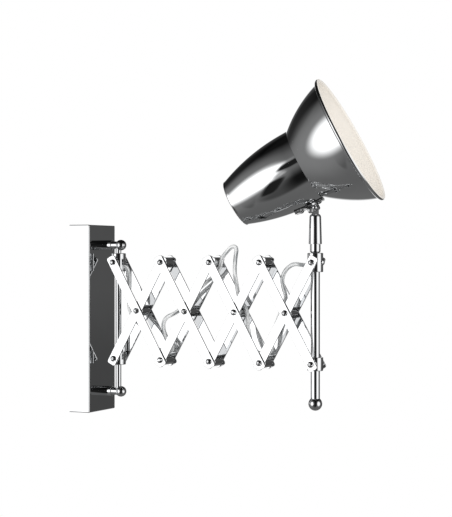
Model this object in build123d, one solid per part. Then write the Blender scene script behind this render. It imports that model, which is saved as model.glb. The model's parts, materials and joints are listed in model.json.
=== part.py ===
from build123d import *
from math import asin, cos, radians, sin, sqrt, tan
import os

os.makedirs("parts", exist_ok=True)

# Adjustable wall lamp with a scissor arm, in millimetres.
# The wall is the plane X = 0. X points into the room, Z up, and the origin is the
# middle of the wall plate's back.

# Wall plate, bracket and posts
plate_height = 255.0
plate_width = 73.0
plate_depth = 31.0
plate_sheet = 1.2
plate_edge = 1.5
bracket_width = 40.0
bracket_sheet = 2.0
bracket_flange = 14.0
wall_hole_spacing = 170.0
wall_hole_radius = 2.75
cable_hole_radius = 9.0
cable_hole_z = -30.0
cover_screw_radius = 1.5
cover_screw_head = 3.0
cover_screw_head_height = 0.8
cover_screw_x = 8.0
terminal_z = 40.0
terminal_size = (13.0, 30.0, 18.0)
terminal_pitch = 10.0
post_z = 100.0
post_radius = 6.75
post_straight = 14.0
post_neck = 4.9
post_ball_radius = 7.4
post_ball_ahead = 4.0
post_stud_radius = 3.0
post_nut_across = 10.0
post_nut_height = 5.0
wire_bore = 2.0

# Rod and pole
rod_x = 56.0
rod_radius = 4.0
rod_bore = 2.4
rod_top_gap = 2.5
rod_foot = 1.0
pole_radius = 6.0
pole_bore = 4.6
finial_z = -106.0
finial_radius = 9.0
neck_radius = 6.85
neck_height = 11.1
neck_round = 2.5
spigot_radius = 5.0
spigot_height = 31.0

# Scissor arm
pivot_below_post = 23.5
link_length = 149.5
rest_step = 72.0
crossings = 4
link_width = 12.5
link_sheet = 2.0
link_overhang = 8.6
link_corner = 2.8
spacer_radius = 7.5
spacer_half = 12.6
side_play = 0.2
screw_radius = 2.0
screw_head = 4.0
screw_head_height = 2.6
screw_grip = 11.0
running_fit = 0.08
seat_fit = 0.03
collar_radius = 10.25
fixed_collar_height = 24.8
slide_collar_height = 17.6
boss_radius = 5.2
wall_cord_drop = 6.5
pole_cord_drop = 3.5
set_screw_rise = 0.5

# Swivel sleeve and lamp head
sleeve_base = 8.6
sleeve_shoulder = 7.6
sleeve_shoulder_rise = 34.3
sleeve_dome_rise = 39.0
tongue_sheet = 5.0
tilt_pivot_rise = 47.5
tongue_end = 4.3
head_tilt = 28.0
head_yaw = 9.0
pivot_behind_front = 15.6
pivot_below_can = 5.2
head_sheet = 1.0
can_rear_radius = 31.6
can_front_radius = 50.0
can_length = 107.0
can_straight = 11.0
can_rear_round = 2.0
bowl_neck = 3.5
bowl_middle_ahead = 24.0
bowl_middle_out = 17.6
bowl_edge_ahead = 63.4
bowl_edge_out = 34.4
rim_bead = 2.6
strap_width = 14.0
strap_sheet = 1.8
strap_behind = 26.0
strap_ahead = 14.4
ear_sheet = 2.3
ear_behind = 10.0
ear_ahead = 5.0
ear_below = 4.3
ear_corner = 2.5
strap_screw_behind = 18.3
strap_screw_ahead = 8.0
small_screw_radius = 1.5
small_head = 3.1
small_head_height = 2.2
small_nut_across = 5.5
small_nut_height = 2.4
holder_radius = 19.5
holder_length = 45.0
holder_floor = 14.0
nipple_radius = 4.9
nipple_nut_across = 14.0
nipple_nut_height = 3.5
socket_radius = 13.05
socket_sheet = 0.4
socket_length = 26.0

# Flexible cord
cord_radius = 2.7
cord_hole_fit = 0.1
cord_tuck = 1.5
cord_wrap_gap = 0.7

# Heights and places that follow from the sizes above
rod_top = post_z - rod_top_gap
rod_bottom = -post_z - rod_foot
top_pivot_z = post_z - pivot_below_post
rest_angle = asin(rest_step / link_length)
mid_pivot_z = top_pivot_z - link_length / 2 * cos(rest_angle)
low_pivot_z = top_pivot_z - link_length * cos(rest_angle)
pole_x = rod_x + crossings * rest_step
inner_face = spacer_half + side_play
outer_face = inner_face + link_sheet + side_play
inner_seat = inner_face + link_sheet
outer_seat = outer_face + link_sheet
fixed_collar_top = top_pivot_z + fixed_collar_height / 2
wall_cord_z = top_pivot_z - wall_cord_drop
pole_cord_z = top_pivot_z - pole_cord_drop
set_screw_z = top_pivot_z + set_screw_rise
neck_top = fixed_collar_top + neck_height
spigot_top = neck_top + spigot_height
sleeve_bottom = neck_top + side_play
tilt_pivot_z = neck_top + tilt_pivot_rise
finial_top = finial_z + sqrt(finial_radius**2 - pole_radius**2)
pivot_from_rear = can_length - pivot_behind_front
pivot_below_axis = can_front_radius + pivot_below_can
bowl_middle = (can_length + bowl_middle_ahead, can_front_radius + bowl_middle_out)
bowl_edge = (can_length + bowl_edge_ahead, can_front_radius + bowl_edge_out)
cord_size = 2 * cord_radius
cord_wrap = spacer_radius + cord_radius + cord_wrap_gap

# Directions of the lamp head: along its axis, up across it, and sideways to the viewer
tilt = radians(head_tilt)
yaw = radians(head_yaw)
head_along = Vector(cos(tilt) * cos(yaw), cos(tilt) * sin(yaw), sin(tilt))
head_up = Vector(-sin(tilt) * cos(yaw), -sin(tilt) * sin(yaw), cos(tilt))
head_side = head_along.cross(head_up)
tilt_pivot = Vector(pole_x, 0, tilt_pivot_z)
rear_middle = tilt_pivot + head_up * pivot_below_axis - head_along * pivot_from_rear
head_plane = Plane(origin=rear_middle, x_dir=head_along, z_dir=head_side)

low = (Align.CENTER, Align.CENTER, Align.MIN)


def bar_along(direction, radius, start, length):
    return Plane(origin=start, z_dir=direction).location * Cylinder(radius, length, align=low)


def upright(radius, bottom, top, x):
    return bar_along((0, 0, 1), radius, (x, 0, bottom), top - bottom)


def outward(radius, start, end, y, z):
    return bar_along((1, 0, 0), radius, (start, y, z), end - start)


def across(radius, start, end, x, z):
    return bar_along((0, 1, 0), radius, (x, start, z), end - start)


def block(lows, highs):
    size = [high - near for near, high in zip(lows, highs)]
    return Pos(*lows) * Box(*size, align=(Align.MIN, Align.MIN, Align.MIN))


def hexagon(direction, start, across_flats, height, hole):
    nut = extrude(RegularPolygon(across_flats / 2, 6, major_radius=False), height)
    nut -= Cylinder(hole, height, align=low)
    return Plane(origin=start, z_dir=direction).location * nut


def headed_screw(direction, seat, shank, grip, head, head_height):
    # A screw whose head stands on the seat, along direction, and whose shank goes the other way
    top = Pos(0, 0, 0) * Cylinder(head, head_height, align=low)
    top = fillet(top.edges().sort_by(Axis.Z)[-1], head_height * 0.6)
    stem = Pos(0, 0, -grip) * Cylinder(shank, grip, align=low)
    return Plane(origin=seat, z_dir=direction).location * (top + stem)


def revolved(profile_edges, plane):
    face = make_face(profile_edges)
    return plane.location * revolve(face, axis=Axis.X)


def save(node, *solids):
    shape = solids[0] if len(solids) == 1 else Compound(children=list(solids))
    export_step(shape, f"parts/{node}.step")


# Wall plate cover: an open box with softened outer edges
half_height = plate_height / 2
half_width = plate_width / 2
cover = block((0, -half_width, -half_height), (plate_depth, half_width, half_height))
soft_edges = cover.edges().filter_by(lambda edge: edge.center().X > plate_edge)
cover = fillet(soft_edges, plate_edge)
cover -= block(
    (-plate_sheet, plate_sheet - half_width, plate_sheet - half_height),
    (plate_depth - plate_sheet, half_width - plate_sheet, half_height - plate_sheet),
)
for side in (1, -1):
    cover -= outward(post_stud_radius + seat_fit, 0, plate_depth * 2, 0, side * post_z)
cover -= upright(cover_screw_radius + seat_fit, -plate_height, plate_height, cover_screw_x)
save("wall_cover", cover)

# Wall bracket: a flat strap with a flange at each end that the cover screws bite into
bracket_half = half_height - plate_sheet - side_play
bracket = block((0, -bracket_width / 2, -bracket_half), (bracket_sheet, bracket_width / 2, bracket_half))
for side in (1, -1):
    flange = block(
        (0, -bracket_width / 4, bracket_half - bracket_sheet),
        (bracket_flange, bracket_width / 4, bracket_half),
    )
    bracket += flange if side > 0 else flange.rotate(Axis.X, 180)
    bracket -= outward(wall_hole_radius, 0, bracket_sheet, 0, side * wall_hole_spacing / 2)
bracket -= outward(cable_hole_radius, 0, bracket_sheet, 0, cable_hole_z)
bracket -= upright(cover_screw_radius + seat_fit, -plate_height, plate_height, cover_screw_x)
save("wall_bracket", bracket)

cover_screw_grip = plate_sheet + side_play + bracket_sheet + cover_screw_radius
save(
    "cover_screws",
    *[
        headed_screw(
            (0, 0, side),
            (cover_screw_x, 0, side * half_height),
            cover_screw_radius,
            cover_screw_grip,
            cover_screw_head,
            cover_screw_head_height,
        )
        for side in (1, -1)
    ],
)

# Terminal block: wire channels along Z, each with a screw well from the front
terminal_depth, terminal_width, terminal_height = terminal_size
terminal_front = bracket_sheet + terminal_depth
terminal = block(
    (bracket_sheet, -terminal_width / 2, terminal_z - terminal_height / 2),
    (terminal_front, terminal_width / 2, terminal_z + terminal_height / 2),
)
for pole_number in (-1, 0, 1):
    channel_y = pole_number * terminal_pitch
    channel_x = bracket_sheet + terminal_depth / 2
    channel = upright(wire_bore, terminal_z - terminal_height, terminal_z + terminal_height, channel_x)
    terminal -= Pos(0, channel_y, 0) * channel
    terminal -= outward(wire_bore, channel_x, terminal_front, channel_y, terminal_z)
save("terminal_block", terminal)

# Posts: a turned bar with a neck and a ball end, bolted through the cover
ball_x = rod_x + post_ball_ahead
stud_end = plate_depth - plate_sheet - post_nut_height - post_stud_radius
neck_x = ball_x - sqrt(post_ball_radius**2 - post_neck**2)
taper_x = plate_depth + post_straight
ball_slope = radians(60)
post_profile = [
    Polyline(
        (stud_end, 0),
        (stud_end, post_stud_radius),
        (plate_depth, post_stud_radius),
        (plate_depth, post_radius),
        (taper_x, post_radius),
    ),
    TangentArc((taper_x, post_radius), (neck_x, post_neck), tangent=(1, 0)),
    ThreePointArc(
        (neck_x, post_neck),
        (ball_x + post_ball_radius * cos(ball_slope), post_ball_radius * sin(ball_slope)),
        (ball_x + post_ball_radius, 0),
    ),
    Line((ball_x + post_ball_radius, 0), (stud_end, 0)),
]
post = revolved(post_profile, Plane.XY)
rod_socket = rod_radius + running_fit
upper_post = Pos(0, 0, post_z) * post
upper_post -= upright(rod_socket, 0, rod_top + side_play, rod_x)
upper_post -= upright(wire_bore, 0, post_z, rod_x)
upper_post -= outward(wire_bore, 0, rod_x, 0, post_z)
lower_post = Pos(0, 0, -post_z) * post
lower_post -= upright(rod_socket, rod_bottom - side_play, 0, rod_x)
save("upper_post", upper_post)
save("lower_post", lower_post)

nut_seat = plate_depth - plate_sheet
save(
    "post_nuts",
    *[
        hexagon(
            (-1, 0, 0),
            (nut_seat, 0, side * post_z),
            post_nut_across,
            post_nut_height,
            post_stud_radius + seat_fit,
        )
        for side in (1, -1)
    ],
)

# Wall rod, a tube that turns in both posts
swing_rod = upright(rod_radius, rod_bottom, rod_top, rod_x)
swing_rod -= upright(rod_bore, wall_cord_z - rod_radius, rod_top, rod_x)
swing_rod -= outward(rod_bore, rod_x, rod_x + rod_radius * 2, 0, wall_cord_z)
save("swing_rod", swing_rod)


def collar(x, z, height, bore, boss_reach):
    # A round collar with a boss on each side, tapped for a pivot screw
    body = upright(collar_radius, z - height / 2, z + height / 2, x)
    body += across(boss_radius, -boss_reach, boss_reach, x, z)
    body -= upright(bore, z - height, z + height, x)
    tapped = across(screw_radius + seat_fit, bore - seat_fit, boss_reach, x, z)
    return body - tapped - mirror(tapped, Plane.XZ)


def pivot_screws(x, z, seat, stop):
    # One pan-head screw from each side, with its head on the seat and its tip at the stop
    return [
        headed_screw(
            (0, side, 0), (x, side * seat, z), screw_radius, seat - stop, screw_head, screw_head_height
        )
        for side in (-1, 1)
    ]


outer_boss = outer_face - side_play
inner_boss = spacer_half
rod_stop = rod_radius + 4 * side_play
pole_stop = pole_radius + 4 * side_play
cord_hole = cord_radius + cord_hole_fit

upper_wall_collar = collar(rod_x, top_pivot_z, fixed_collar_height, rod_radius + seat_fit, outer_boss)
upper_wall_collar -= outward(cord_hole, rod_x, rod_x + collar_radius * 2, 0, wall_cord_z)
save("upper_wall_collar", upper_wall_collar)
save("upper_wall_pivots", *pivot_screws(rod_x, top_pivot_z, outer_seat + side_play, rod_stop))

lower_wall_collar = collar(rod_x, low_pivot_z, slide_collar_height, rod_radius + running_fit, inner_boss)
save("lower_wall_collar", lower_wall_collar)
save("lower_wall_pivots", *pivot_screws(rod_x, low_pivot_z, inner_seat + side_play, rod_stop))


# Scissor links: a flat bar with rounded ends and three pivot holes
def link(top_x, low_x, near_face):
    outline = RectangleRounded(link_length + 2 * link_overhang, link_width, link_corner)
    for place in (-link_length / 2, 0, link_length / 2):
        outline -= Pos(place, 0) * Circle(screw_radius + running_fit)
    bar = extrude(outline, link_sheet)
    along = Vector(top_x - low_x, 0, top_pivot_z - low_pivot_z)
    middle = ((top_x + low_x) / 2, near_face, mid_pivot_z)
    return Plane(origin=middle, x_dir=along, z_dir=(0, 1, 0)).location * bar


def pivot_x(number):
    return rod_x + number * rest_step


for number in range(crossings):
    wall_end = pivot_x(number)
    room_end = pivot_x(number + 1)
    save(f"down_link_{number + 1}_near", link(wall_end, room_end, -outer_seat))
    save(f"down_link_{number + 1}_far", link(wall_end, room_end, outer_face))
    save(f"up_link_{number + 1}_near", link(room_end, wall_end, -inner_seat))
    save(f"up_link_{number + 1}_far", link(room_end, wall_end, inner_face))

    # The falling links carry the barrels and screws of their own inner pivots
    pivots = [((wall_end + room_end) / 2, mid_pivot_z)]
    if number > 0:
        pivots.append((wall_end, top_pivot_z))
    if number < crossings - 1:
        pivots.append((room_end, low_pivot_z))
    barrels = []
    screws = []
    for x, z in pivots:
        barrel = across(spacer_radius, -spacer_half, spacer_half, x, z)
        barrels.append(barrel - across(screw_radius + seat_fit, -spacer_half, spacer_half, x, z))
        screws.extend(pivot_screws(x, z, outer_seat, outer_seat - screw_grip))
    save(f"spacers_{number + 1}", *barrels)
    save(f"pivot_screws_{number + 1}", *screws)

# Pole with its fixed and sliding collars, set screw, finial and swivel spindle
pole = upright(pole_radius, finial_top, fixed_collar_top, pole_x)
pole -= upright(pole_bore, finial_top, fixed_collar_top, pole_x)
cord_inlet = outward(cord_hole, pole_x - collar_radius * 2, pole_x, 0, pole_cord_z)
set_screw_hole = outward(screw_radius + seat_fit, pole_x, pole_x + collar_radius * 2, 0, set_screw_z)
save("pole_tube", pole - cord_inlet)

upper_pole_collar = collar(pole_x, top_pivot_z, fixed_collar_height, pole_radius + seat_fit, inner_boss)
save("upper_pole_collar", upper_pole_collar - cord_inlet - set_screw_hole)
save("upper_pole_pivots", *pivot_screws(pole_x, top_pivot_z, inner_seat + side_play, pole_stop))
set_screw = headed_screw(
    (1, 0, 0),
    (pole_x + collar_radius, 0, set_screw_z),
    screw_radius,
    collar_radius - pole_radius - seat_fit,
    screw_head,
    screw_head_height,
)
save("pole_collar_screw", set_screw)

lower_pole_collar = collar(pole_x, low_pivot_z, slide_collar_height, pole_radius + running_fit, outer_boss)
save("lower_pole_collar", lower_pole_collar)
save("lower_pole_pivots", *pivot_screws(pole_x, low_pivot_z, outer_seat + side_play, pole_stop))

finial = Pos(pole_x, 0, finial_z) * Sphere(finial_radius)
finial -= upright(finial_radius, finial_top, finial_top + finial_radius, pole_x)
finial += upright(pole_bore - seat_fit, finial_top, finial_top + 2 * pole_bore, pole_x)
save("ball_finial", finial)

neck = upright(neck_radius, fixed_collar_top, neck_top, pole_x)
neck = fillet(neck.edges().filter_by(GeomType.CIRCLE).sort_by(Axis.Z)[0], neck_round)
neck += upright(spigot_radius, neck_top, spigot_top, pole_x)
neck += upright(pole_bore - seat_fit, fixed_collar_top - pole_radius, fixed_collar_top, pole_x)
neck -= upright(wire_bore, 0, spigot_top, pole_x)
save("swivel_spindle", neck)

# Swivel sleeve: a slim cone with a domed top, carrying the tilt tongue
sleeve_profile = [
    Polyline((0, 0), (0, sleeve_base), (sleeve_shoulder_rise, sleeve_shoulder)),
    TangentArc(
        (sleeve_shoulder_rise, sleeve_shoulder),
        (sleeve_dome_rise, tongue_end),
        tangent=(sleeve_shoulder_rise, sleeve_shoulder - sleeve_base),
    ),
    Polyline((sleeve_dome_rise, tongue_end), (sleeve_dome_rise, 0), (0, 0)),
]
sleeve = revolved(sleeve_profile, Plane(origin=(pole_x, 0, sleeve_bottom), x_dir=(0, 0, 1), z_dir=(0, 1, 0)))
tongue_plane = Plane(origin=tilt_pivot, x_dir=(0, 0, 1), z_dir=head_side)
tongue = Pos(0, 0, -tongue_sheet / 2) * Cylinder(tongue_end, tongue_sheet, align=low)
tongue += block(
    (sleeve_bottom + sleeve_shoulder_rise - tilt_pivot_z, -tongue_end, -tongue_sheet / 2),
    (0, tongue_end, tongue_sheet / 2),
)
head_post = sleeve + tongue_plane.location * tongue
head_post -= upright(spigot_radius + running_fit, sleeve_bottom, spigot_top + side_play, pole_x)
head_post -= bar_along(
    head_side, small_screw_radius + running_fit, tilt_pivot - head_side * tongue_sheet, 2 * tongue_sheet
)
save("head_post", head_post)

# Lamp can: a spun shell whose side is one arc that ends in a short straight front
can_shoulder = can_length - can_straight
can_drop = can_front_radius - can_rear_radius
can_arc = (can_shoulder**2 + can_drop**2) / (2 * can_drop)


def can_radius(s, inset=0.0):
    if s >= can_shoulder:
        return can_front_radius - inset
    return can_front_radius - can_arc + sqrt((can_arc - inset) ** 2 - (can_shoulder - s) ** 2)


def can_solid(inset, rear, front):
    # The can's full form, pulled in by inset, from its rear wall to its front
    points = [(s, can_radius(s, inset)) for s in (rear, (rear + can_shoulder) / 2, can_shoulder)]
    edges = [
        Line((rear, 0), points[0]),
        ThreePointArc(*points),
        Polyline(points[2], (front, can_front_radius - inset), (front, 0), (rear, 0)),
    ]
    return revolve(make_face(edges), axis=Axis.X)


can = can_solid(0, 0, can_length)
rear_edge = can.edges().filter_by(GeomType.CIRCLE).sort_by(Axis.X)[0]
can = fillet(rear_edge, can_rear_round)
can -= can_solid(head_sheet, head_sheet, can_length)
can -= outward(nipple_radius + seat_fit, 0, head_sheet, 0, 0)
strap_screw_places = (pivot_from_rear - strap_screw_behind, pivot_from_rear + strap_screw_ahead)
for place in strap_screw_places:
    can -= bar_along((0, -1, 0), small_screw_radius + seat_fit, (place, 0, 0), can_front_radius * 2)
save("lamp_can", head_plane.location * can)

# Bowl: a spun sheet with a short neck inside the can and a rolled rim
bowl_start = (can_length, can_front_radius + head_sheet / 2)
neck_outer = can_front_radius - head_sheet - seat_fit
bowl_line = ThreePointArc(bowl_start, bowl_middle, bowl_edge)
bowl_wall = make_face(
    [
        bowl_line,
        Line(bowl_edge, (bowl_edge[0] + head_sheet / 2, bowl_edge[1] - head_sheet)),
        ThreePointArc(
            (bowl_edge[0] + head_sheet / 2, bowl_edge[1] - head_sheet),
            (bowl_middle[0] + head_sheet / sqrt(2), bowl_middle[1] - head_sheet / sqrt(2)),
            (can_length + head_sheet, neck_outer),
        ),
        Polyline(
            (can_length + head_sheet, neck_outer),
            (can_length + head_sheet, neck_outer - head_sheet),
            (can_length - bowl_neck, neck_outer - head_sheet),
            (can_length - bowl_neck, neck_outer),
            (can_length, neck_outer),
            bowl_start,
        ),
    ]
)
bead_middle = (bowl_edge[0] + 0.75 * rim_bead, bowl_edge[1] + rim_bead / 2)
bowl = revolve(bowl_wall + Pos(*bead_middle) * Circle(rim_bead), axis=Axis.X)
save("reflector_bowl", head_plane.location * bowl)

# Knuckle bracket: a strap fitted to the can's underside, with a window between two ears
strap_bottom = -can_front_radius - strap_sheet
ear_bottom = -pivot_below_axis - ear_below
strap = block(
    (pivot_from_rear - strap_behind, strap_bottom, -strap_width / 2),
    (pivot_from_rear + strap_ahead, -can_front_radius / 2, strap_width / 2),
)
strap -= can_solid(-seat_fit, -head_sheet, can_length * 2)
slot_half = tongue_sheet / 2 + side_play
window = tongue_end + 4 * side_play
strap -= block(
    (pivot_from_rear - window, ear_bottom, -slot_half), (pivot_from_rear + window, 0, slot_half)
)
ear_profile = block(
    (pivot_from_rear - ear_behind, ear_bottom, 0),
    (pivot_from_rear + ear_ahead, strap_bottom + strap_sheet / 2, ear_sheet),
)
ear_profile = fillet(ear_profile.edges().filter_by(Axis.Z).group_by(Axis.Y)[0], ear_corner)
strap += Pos(0, 0, slot_half) * ear_profile
strap += Pos(0, 0, -slot_half - ear_sheet) * ear_profile
strap -= bar_along(
    (0, 0, 1),
    small_screw_radius + seat_fit,
    (pivot_from_rear, -pivot_below_axis, -strap_width),
    2 * strap_width,
)
strap_screws = []
head_nuts = []
for place in strap_screw_places:
    strap -= bar_along((0, -1, 0), small_screw_radius + seat_fit, (place, 0, 0), can_front_radius * 2)
    nut_seat_radius = can_radius(place - small_nut_across / 2, head_sheet) - side_play
    nut = hexagon(
        (0, 1, 0),
        (place, -nut_seat_radius, 0),
        small_nut_across,
        small_nut_height,
        small_screw_radius + seat_fit,
    )
    head_nuts.append(head_plane.location * nut)
    screw = headed_screw(
        (0, -1, 0),
        (place, strap_bottom, 0),
        small_screw_radius,
        -strap_bottom - nut_seat_radius + small_nut_height,
        small_head,
        small_head_height,
    )
    strap_screws.append(head_plane.location * screw)
save("head_bracket", head_plane.location * strap)
save("bracket_screws", *strap_screws)

# Tilt screw through both ears and the tongue, with its nut on the far ear
ear_outside = slot_half + ear_sheet
tilt_screw = headed_screw(
    (0, 0, 1),
    (pivot_from_rear, -pivot_below_axis, ear_outside),
    small_screw_radius,
    2 * ear_outside + small_nut_height + side_play,
    small_head,
    small_head_height,
)
tilt_nut = hexagon(
    (0, 0, -1),
    (pivot_from_rear, -pivot_below_axis, -ear_outside),
    small_nut_across,
    small_nut_height,
    small_screw_radius + seat_fit,
)
head_nuts.append(head_plane.location * tilt_nut)
save("tilt_screw", head_plane.location * tilt_screw)
save("head_nuts", *head_nuts)

# Lampholder on the can's rear wall, with its threaded shell, centre contact and nut
shell_outside = socket_radius + socket_sheet
holder_front = head_sheet + holder_length
holder = outward(holder_radius, head_sheet, holder_front, 0, 0)
holder = fillet(holder.edges().filter_by(GeomType.CIRCLE).sort_by(Axis.X)[-1], can_rear_round)
holder += outward(nipple_radius, -nipple_nut_height - side_play, head_sheet, 0, 0)
holder -= outward(shell_outside + seat_fit, holder_floor, holder_front, 0, 0)
holder -= outward(wire_bore, -holder_length, holder_floor, 0, 0)
save("lampholder", head_plane.location * holder)

shell = outward(shell_outside, holder_floor, holder_floor + socket_length, 0, 0)
shell -= outward(socket_radius, holder_floor + socket_sheet, holder_floor + socket_length, 0, 0)
shell -= outward(socket_radius / 2, 0, holder_floor + socket_length, 0, 0)
save("socket_shell", head_plane.location * shell)

contact = outward(socket_radius / 3, holder_floor, holder_floor + socket_sheet, 0, 0)
save("centre_contact", head_plane.location * contact)

nipple_nut = hexagon((-1, 0, 0), (0, 0, 0), nipple_nut_across, nipple_nut_height, nipple_radius + seat_fit)
save("lampholder_nut", head_plane.location * nipple_nut)

# Flexible cord, slung from pivot to pivot between the link layers, in five stretches.
# Its corners are placed from the pivot they pass: column along the arm, row height, and
# offsets counted in cord diameters, or close past a barrel in the cord's reach round it.
def beside(column, row_z, along, up, sideways=0.0):
    offset = Vector(along, sideways, up) * cord_size
    return Vector(pivot_x(column), 0, row_z) + offset


def past(column, row_z, along, up, sideways=0.0):
    offset = Vector(along * cord_wrap, sideways * cord_size, up * cord_wrap)
    return Vector(pivot_x(column), 0, row_z) + offset


def over(column, side):
    return Vector(pivot_x(column) + side * cord_wrap, 0, low_pivot_z + cord_wrap)


cord_start = Vector(rod_x + collar_radius - cord_tuck, 0, wall_cord_z)
cord_end = Vector(pole_x - collar_radius + cord_tuck, 0, pole_cord_z)
cord_corners = [
    [
        cord_start + Vector(1.2 * cord_size, 0, 0),
        beside(0, top_pivot_z, 3.24, -5.46, -0.37),
        beside(0.5, mid_pivot_z, -2.78, 3.52, -1.48),
        past(0.5, mid_pivot_z, -1.3, -0.4, -1.67),
        beside(0.5, mid_pivot_z, 2.04, -5, -1.67),
        beside(1, low_pivot_z, -2.6, 3.4, -1.48),
        over(1, -0.7),
    ],
    [
        over(1, 1),
        beside(1, low_pivot_z, 0.28, 4.91),
        beside(1, mid_pivot_z, -0.83, -4.07),
        beside(1, mid_pivot_z, -0.09, -1.67),
        beside(1.5, mid_pivot_z, -3.89, -0.56),
        past(1.5, mid_pivot_z, -0.85, 0.57),
        beside(1.5, mid_pivot_z, 0.74, 4.07),
        beside(2, top_pivot_z, -2.41, -5.19),
        past(2, top_pivot_z, 0.5, -1.28),
    ],
    [
        past(2, top_pivot_z, 1.24, 0.37),
        beside(2, top_pivot_z, 3.26, 2.28),
        beside(2, top_pivot_z, 4.37, 4.09),
        beside(2, top_pivot_z, 5.91, 3.87),
        beside(2, top_pivot_z, 5.46, 0.65),
        beside(2, top_pivot_z, 5.09, -2.5),
        beside(2.5, mid_pivot_z, -0.93, 6.57),
        beside(2.5, mid_pivot_z, -0.09, 3.52),
        past(2.5, mid_pivot_z, 1.14, 0.3),
        past(2.5, mid_pivot_z, 1.18, -1.38),
        beside(2.5, mid_pivot_z, 2.96, -6.67),
        over(3, -1),
    ],
    [
        over(3, 1),
        beside(3, low_pivot_z, 2.22, 5.65),
        past(3.5, mid_pivot_z, -1.76, -1.5),
    ],
    [
        past(3.5, mid_pivot_z, -0.66, 1.01),
        beside(3.5, mid_pivot_z, -0.81, 3.89),
        beside(3.5, mid_pivot_z, -1.61, 6.02),
        beside(4, top_pivot_z, -8.63, -3.8),
        beside(4, top_pivot_z, -7.59, -1.57),
        beside(4, top_pivot_z, -5.46, -0.22),
        beside(4, top_pivot_z, -3.33, -pole_cord_drop / cord_size),
    ],
]


def corner_radii(points):
    # Each run is shared by the arcs at its two ends, in step with how far they turn
    runs = [after - before for before, after in zip(points, points[1:])]
    turns = [radians(before.get_angle(after)) for before, after in zip(runs, runs[1:])]
    halves = [0, *[tan(turn / 2) for turn in turns], 0]
    room = [0.9 * run.length / (near + far) for run, near, far in zip(runs, halves, halves[1:])]
    return [min(pair) for pair in zip(room, room[1:])]


joins = [(before[-1] + after[0]) / 2 for before, after in zip(cord_corners, cord_corners[1:])]
stretch_ends = [cord_start, *joins, cord_end]
for number, corners in enumerate(cord_corners):
    route = [stretch_ends[number], *corners, stretch_ends[number + 1]]
    radii = corner_radii(route)
    path = FilletPolyline(*route, radius=radii)
    section = Plane(origin=path @ 0, z_dir=path % 0) * Circle(cord_radius)
    cord = sweep(section, path=path)
    ratio = cord.volume / (section.area * path.length)
    print(f"cord_{number + 1} length {path.length:.1f} volume ratio {ratio:.4f}")
    print("radii", [round(radius, 1) for radius in radii])
    save(f"cord_{number + 1}", cord)
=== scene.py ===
import bpy
import bmesh
import json
import math
from mathutils import Matrix, Vector


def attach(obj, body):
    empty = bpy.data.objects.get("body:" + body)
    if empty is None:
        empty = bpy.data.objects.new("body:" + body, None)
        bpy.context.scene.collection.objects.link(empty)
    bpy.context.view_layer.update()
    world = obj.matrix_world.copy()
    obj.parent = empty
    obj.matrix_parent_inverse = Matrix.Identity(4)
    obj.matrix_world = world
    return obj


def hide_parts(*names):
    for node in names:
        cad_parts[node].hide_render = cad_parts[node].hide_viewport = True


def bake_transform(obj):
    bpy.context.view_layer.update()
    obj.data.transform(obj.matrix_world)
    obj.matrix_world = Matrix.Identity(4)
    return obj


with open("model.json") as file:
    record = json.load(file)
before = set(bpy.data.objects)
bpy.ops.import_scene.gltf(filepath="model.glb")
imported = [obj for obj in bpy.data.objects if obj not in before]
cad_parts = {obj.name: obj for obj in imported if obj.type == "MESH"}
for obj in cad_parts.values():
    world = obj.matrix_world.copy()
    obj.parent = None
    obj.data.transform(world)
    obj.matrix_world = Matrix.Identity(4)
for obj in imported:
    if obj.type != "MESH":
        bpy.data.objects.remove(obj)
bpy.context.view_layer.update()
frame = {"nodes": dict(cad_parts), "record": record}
nodes = frame["nodes"]
scene = bpy.context.scene
scene.view_settings.view_transform = "Standard"
mm = 0.001  # sizes below are written in millimetres
fullTurn = 2 * math.pi
print("frame loaded:", len(nodes), "nodes")


def linearColour(hexText):
    parts = [int(hexText[i:i + 2], 16) / 255 for i in (0, 2, 4)]
    return tuple(p / 12.92 if p <= 0.04045 else ((p + 0.055) / 1.055) ** 2.4 for p in parts) + (1.0,)


def addNode(tree, kind, values=None, links=None, **settings):
    node = tree.nodes.new(kind)
    for name, value in settings.items():
        setattr(node, name, value)
    for socket, value in (values or {}).items():
        node.inputs[socket].default_value = value
    for socket, source in (links or {}).items():
        tree.links.new(source, node.inputs[socket])
    return node


# camera at the photograph's place and angle
cameraView = {
    "place": (1.0529, -1.8511, 0.08164), "looks": (-0.41134, 0.91148, 0.0), "lens": 106.68, "sensor": 36.0,
}
cameraData = bpy.data.cameras.new("photoCamera")
cameraData.lens = cameraView["lens"]
cameraData.sensor_width = cameraView["sensor"]
cameraObject = bpy.data.objects.new("photoCamera", cameraData)
cameraObject.location = cameraView["place"]
cameraObject.rotation_euler = Vector(cameraView["looks"]).to_track_quat("-Z", "Y").to_euler()
scene.collection.objects.link(cameraObject)
scene.camera = cameraObject

# studio: white air, a pale floor, two soft lamps and a ball of grey cloth for the metal to mirror
studio = {
    "middle": (0.22, 0.0, 0.08), "airWhite": 1.0, "airDiffuse": 0.9, "clothRadius": 3.0, "clothSegments": 180,
    "floorHeight": -0.62, "floorHalf": 1.5, "floorFade": 0.55, "floorColour": "F3F3F2", "floorRough": 0.9,
}
lamps = [
    {"name": "keyLamp", "place": (1.9, -1.6, 0.6), "size": 1.2, "watts": 13.0},
    {"name": "fillLamp", "place": (-0.9, -2.0, 0.7), "size": 1.4, "watts": 7.0},
]


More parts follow.
